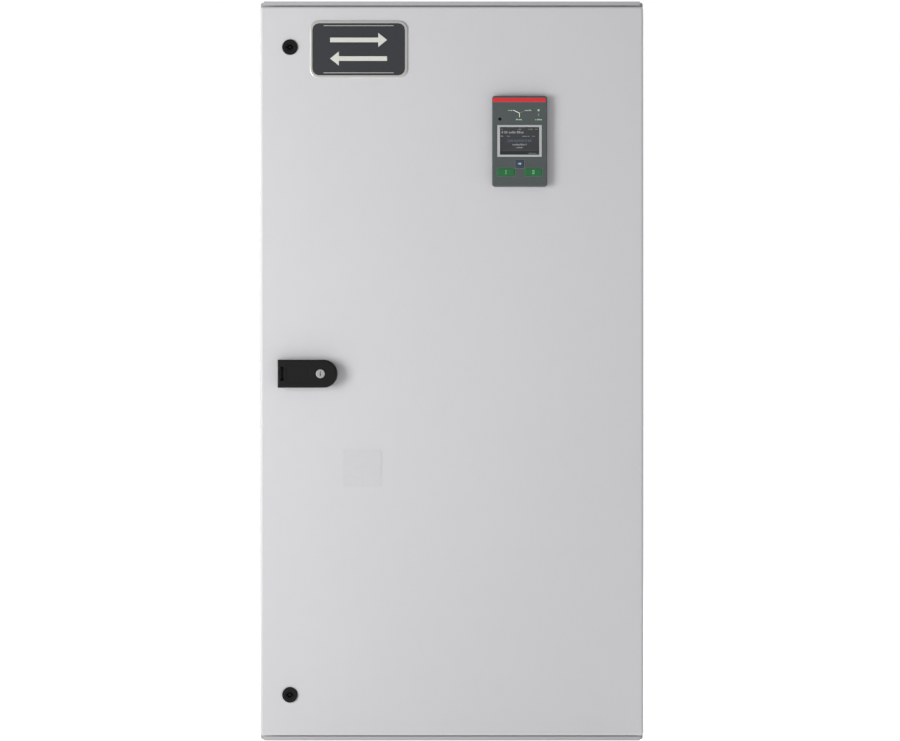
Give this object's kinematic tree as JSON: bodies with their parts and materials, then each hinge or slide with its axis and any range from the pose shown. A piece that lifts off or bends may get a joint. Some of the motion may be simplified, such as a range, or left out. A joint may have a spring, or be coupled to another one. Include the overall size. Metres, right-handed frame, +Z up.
{
  "type": "automatic transfer switch",
  "caption": "Wall-mounted grey steel cabinet whose hinged door, with swing handle, locks and operator panel, covers a motor-driven transfer switch.",
  "frame": {"origin": "centre of the four wall-bolt holes, on the enclosure's back face", "axes": "+Z up, +X to the right seen from the front, +Y into the wall; the front faces -Y"},
  "size_m": [0.7, 0.3266, 1.35],
  "materials": {
    "enclosure_paint": "fine textured light grey powder coat",
    "zinc_steel": "zinc plated, dull",
    "latch_black": "fine textured black powder coat",
    "latch_insert": "black passivated",
    "key_silver": "satin nickel",
    "gasket_foam": "matt foamed seal",
    "badge_satin": "satin nameplate with a printed field",
    "label_vinyl": "blank matt film",
    "pocket_plastic": "moulded light grey",
    "panel_grey": "fine textured dark grey",
    "bezel_grey": "satin light grey",
    "screen_dark": "smooth display window",
    "board_green": "lacquered circuit board",
    "button_green": "satin",
    "button_blue": "satin",
    "pole_black": "moulded thermoset",
    "copper_tinned": "tin plated copper",
    "grip_red": "moulded red grip",
    "indicator_white": "moulded white",
    "gear_steel": "machined, oiled",
    "motor_case": "dark enamel",
    "mechanism_grey": "dark grey powder coat",
    "terminal_beige": "moulded polyamide",
    "breaker_white": "moulded light grey",
    "toggle_black": "moulded black",
    "unit_grey": "moulded mid grey",
    "earth_copper": "bare copper",
    "cable_black": "round sheathed cable"
  },
  "bodies": {
    "enclosure": {"enclosure_body": "enclosure_paint", "gland_plates": "enclosure_paint", "mounting_plate": "zinc_steel", "mounting_nuts": "zinc_steel", "hinge_frame_leaves": "zinc_steel", "hinge_pins": "zinc_steel", "switch_base": "zinc_steel", "pole_cases": "pole_black", "pole_covers": "pole_black", "arc_chutes": "pole_black", "source_1_terminals": "copper_tinned", "source_2_terminals": "copper_tinned", "load_terminals": "copper_tinned", "phase_barriers": "pole_black", "mechanism_case": "mechanism_grey", "mechanism_cover": "mechanism_grey", "drive_motor": "motor_case", "shaft_bearings": "zinc_steel", "din_rail": "zinc_steel", "terminal_blocks": "terminal_beige", "control_breaker": "breaker_white", "control_unit": "unit_grey", "ground_bar": "earth_copper", "machine_screws": "zinc_steel", "panel_cable": "cable_black"},
    "door": {"door_panel": "enclosure_paint", "door_gasket": "gasket_foam", "door_stiffeners": "zinc_steel", "hinge_door_knuckles": "zinc_steel", "badge_plate": "badge_satin", "blank_label": "label_vinyl", "document_pocket": "pocket_plastic", "lock_housings": "latch_black", "door_nuts": "zinc_steel", "handle_base": "latch_black", "hmi_housing": "panel_grey", "hmi_rear_cover": "panel_grey", "hmi_screen_bezel": "bezel_grey", "hmi_screen": "screen_dark", "hmi_circuit_board": "board_green"},
    "lock_top": {"lock_insert_top": "latch_insert", "lock_cam_top": "zinc_steel"},
    "lock_bottom": {"lock_insert_bottom": "latch_insert", "lock_cam_bottom": "zinc_steel"},
    "handle_spindle": {"handle_hub": "latch_black", "handle_cam": "zinc_steel", "lever_pin": "zinc_steel"},
    "handle_lever": {"handle_lever": "latch_black"},
    "key_plug": {"key_plug": "key_silver"},
    "source_1_key": {"button_source_1": "button_green"},
    "source_2_key": {"button_source_2": "button_green"},
    "menu_key": {"button_menu": "button_blue"},
    "transfer_shaft": {"main_shaft": "zinc_steel", "contact_blades": "copper_tinned", "manual_lever": "zinc_steel", "manual_grip": "grip_red", "position_indicator": "indicator_white", "drive_gear": "gear_steel"},
    "motor_pinion": {"motor_pinion": "gear_steel"},
    "breaker_toggle": {"breaker_toggle": "toggle_black"}
  },
  "joints": [
    {"name": "door_hinge", "type": "hinge", "parent": "enclosure", "child": "door", "pos_m": [0.341, -0.295, 0], "axis": [0, 0, 1], "range_deg": [0, 115], "deforming": ["panel_cable"]},
    {"name": "lock_top_turn", "type": "hinge", "parent": "door", "child": "lock_top", "pos_m": [-0.2955, -0.304, 0.591], "axis": [0, 1, 0], "range_deg": [0, 90]},
    {"name": "lock_bottom_turn", "type": "hinge", "parent": "door", "child": "lock_bottom", "pos_m": [-0.2955, -0.304, -0.591], "axis": [0, 1, 0], "range_deg": [0, 90]},
    {"name": "handle_turn", "type": "hinge", "parent": "door", "child": "handle_spindle", "pos_m": [-0.2955, -0.304, -0.005], "axis": [0, 1, 0], "range_deg": [0, 90]},
    {"name": "lever_lift", "type": "hinge", "parent": "handle_spindle", "child": "handle_lever", "pos_m": [-0.31, -0.317, -0.005], "axis": [0, 0, -1], "range_deg": [0, 40]},
    {"name": "key_turn", "type": "hinge", "parent": "handle_lever", "child": "key_plug", "pos_m": [-0.239, -0.317, -0.005], "axis": [0, 1, 0], "range_deg": [0, 90]},
    {"name": "source_1_press", "type": "slide", "parent": "door", "child": "source_1_key", "axis": [0, 1, 0], "range_m": [0, 0.0012], "stiffness_N_per_m": 300, "springref_m": -0.002},
    {"name": "source_2_press", "type": "slide", "parent": "door", "child": "source_2_key", "axis": [0, 1, 0], "range_m": [0, 0.0012], "stiffness_N_per_m": 300, "springref_m": -0.002},
    {"name": "menu_press", "type": "slide", "parent": "door", "child": "menu_key", "axis": [0, 1, 0], "range_m": [0, 0.0012], "stiffness_N_per_m": 300, "springref_m": -0.002},
    {"name": "transfer_turn", "type": "hinge", "parent": "enclosure", "child": "transfer_shaft", "pos_m": [0, -0.095, -0.08], "axis": [1, 0, 0], "range_deg": [0, 90]},
    {"name": "pinion_spin", "type": "hinge", "parent": "enclosure", "child": "motor_pinion", "pos_m": [-0.11, -0.095, -0.0319], "axis": [1, 0, 0], "range_deg": [-270, 0]},
    {"name": "breaker_toggle_turn", "type": "hinge", "parent": "enclosure", "child": "breaker_toggle", "pos_m": [-0.17375, -0.082, 0.33], "axis": [1, 0, 0], "range_deg": [0, 25]}
  ],
  "couplings": [
    {"joint": "pinion_spin", "follows": "transfer_turn", "ratio": -3}
  ]
}
